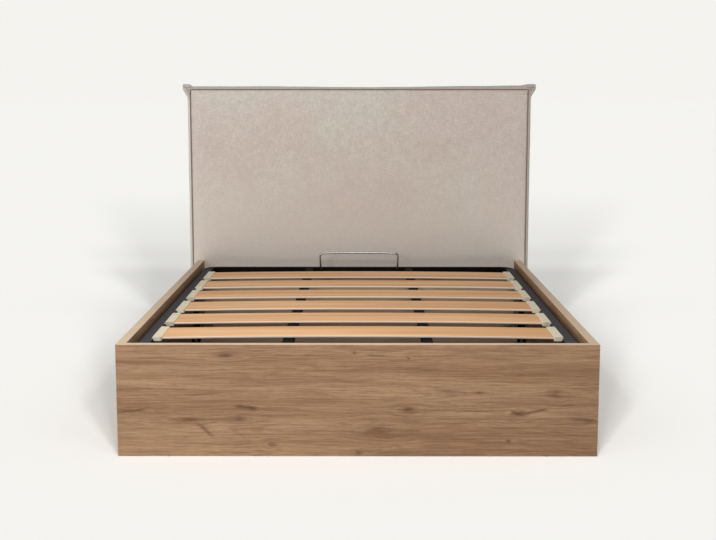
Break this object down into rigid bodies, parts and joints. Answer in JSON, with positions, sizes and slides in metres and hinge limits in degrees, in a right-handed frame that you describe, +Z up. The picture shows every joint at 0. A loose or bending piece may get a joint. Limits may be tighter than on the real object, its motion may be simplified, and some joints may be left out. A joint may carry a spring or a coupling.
{
  "type": "ottoman bed",
  "caption": "Ottoman bed with an oak-pattern storage box, a sprung slat lid that lifts on gas struts, and a tall linen headboard with a flanged cover.",
  "frame": {"origin": "on the floor, at the centre of the whole bed's footprint", "axes": "+X to the right seen from the foot end, +Y from the foot end to the headboard, +Z up"},
  "size_m": [1.626, 2.0422, 1.184],
  "materials": {
    "oak_melamine": "matt oak-pattern melamine, fine horizontal grain",
    "beech": "smooth pressed beech, satin",
    "chipboard": "raw chipboard",
    "grey_board": "smooth printed hardboard",
    "cream_plastic": "moulded nylon, satin",
    "black_steel": "black powder coat, fine texture",
    "zinc_steel": "zinc plate",
    "chrome_steel": "bright chrome plate",
    "linen": "washed linen weave",
    "foam": "upholstery foam",
    "black_rubber": "matt rubber and plastic",
    "black_webbing": "woven webbing"
  },
  "bodies": {
    "box": {"front_panel": "oak_melamine", "side_panel_left": "oak_melamine", "side_panel_right": "oak_melamine", "rear_panel": "oak_melamine", "corner_bracket_front_left": "zinc_steel", "corner_bracket_front_right": "zinc_steel", "corner_bracket_rear_left": "zinc_steel", "corner_bracket_rear_right": "zinc_steel", "corner_screws": "zinc_steel", "glides": "black_rubber", "floor_board_foot": "grey_board", "floor_board_middle": "grey_board", "floor_board_head": "grey_board", "floor_ledge_left": "beech", "floor_ledge_right": "beech", "floor_screws": "zinc_steel", "floor_beam_foot": "beech", "floor_beam_head": "beech", "floor_beam_feet": "black_rubber", "hinge_plate_left": "black_steel", "hinge_plate_right": "black_steel", "hinge_screws": "zinc_steel", "pivot_nuts": "zinc_steel", "strut_clips_lower": "zinc_steel", "lid_rest_left": "black_steel", "lid_rest_right": "black_steel", "lid_rest_buffers": "black_rubber", "lid_rest_screws": "zinc_steel", "headboard_board": "chipboard", "headboard_battens": "beech", "headboard_foam": "foam", "headboard_cover": "linen", "headboard_cams": "zinc_steel", "headboard_cam_bolts": "zinc_steel"},
    "lid": {"lid_rim": "black_steel", "foot_rail": "black_steel", "centre_bar_left": "black_steel", "centre_bar_right": "black_steel", "slat_1": "beech", "slat_2": "beech", "slat_3": "beech", "slat_4": "beech", "slat_5": "beech", "slat_6": "beech", "slat_holders_left": "cream_plastic", "slat_holders_right": "cream_plastic", "rim_end_caps": "black_rubber", "hinge_arm_left": "black_steel", "hinge_arm_right": "black_steel", "arm_screws": "zinc_steel", "pivot_bushes": "cream_plastic", "strut_clips_upper": "zinc_steel", "mattress_stop": "chrome_steel", "stop_sockets": "black_steel", "lift_strap": "black_webbing"},
    "left_strut_tube": {"strut_tube_left": "black_steel"},
    "right_strut_tube": {"strut_tube_right": "black_steel"},
    "left_strut_rod": {"strut_rod_left": "chrome_steel"},
    "right_strut_rod": {"strut_rod_right": "chrome_steel"}
  },
  "joints": [
    {"name": "lid_hinge", "type": "hinge", "parent": "box", "child": "lid", "pos_m": [0, 0.66485, 0.282], "axis": [-1, 0, 0], "range_deg": [0, 45]},
    {"name": "left_strut_foot", "type": "hinge", "parent": "box", "child": "left_strut_tube", "pos_m": [-0.701, 0.50148, 0.0546], "axis": [-1, 0, 0], "range_deg": [0, 22.5]},
    {"name": "left_strut_head", "type": "hinge", "parent": "lid", "child": "left_strut_rod", "pos_m": [-0.701, 0.38485, 0.282], "axis": [-1, 0, 0], "range_deg": [-22.5, 0]},
    {"name": "right_strut_foot", "type": "hinge", "parent": "box", "child": "right_strut_tube", "pos_m": [0.701, 0.50148, 0.0546], "axis": [-1, 0, 0], "range_deg": [0, 22.5]},
    {"name": "right_strut_head", "type": "hinge", "parent": "lid", "child": "right_strut_rod", "pos_m": [0.701, 0.38485, 0.282], "axis": [-1, 0, 0], "range_deg": [-22.5, 0]}
  ],
  "couplings": [
    {"joint": "left_strut_foot", "follows": "lid_hinge", "ratio": 0.5},
    {"joint": "left_strut_head", "follows": "lid_hinge", "ratio": -0.5},
    {"joint": "right_strut_foot", "follows": "lid_hinge", "ratio": 0.5},
    {"joint": "right_strut_head", "follows": "lid_hinge", "ratio": -0.5}
  ]
}
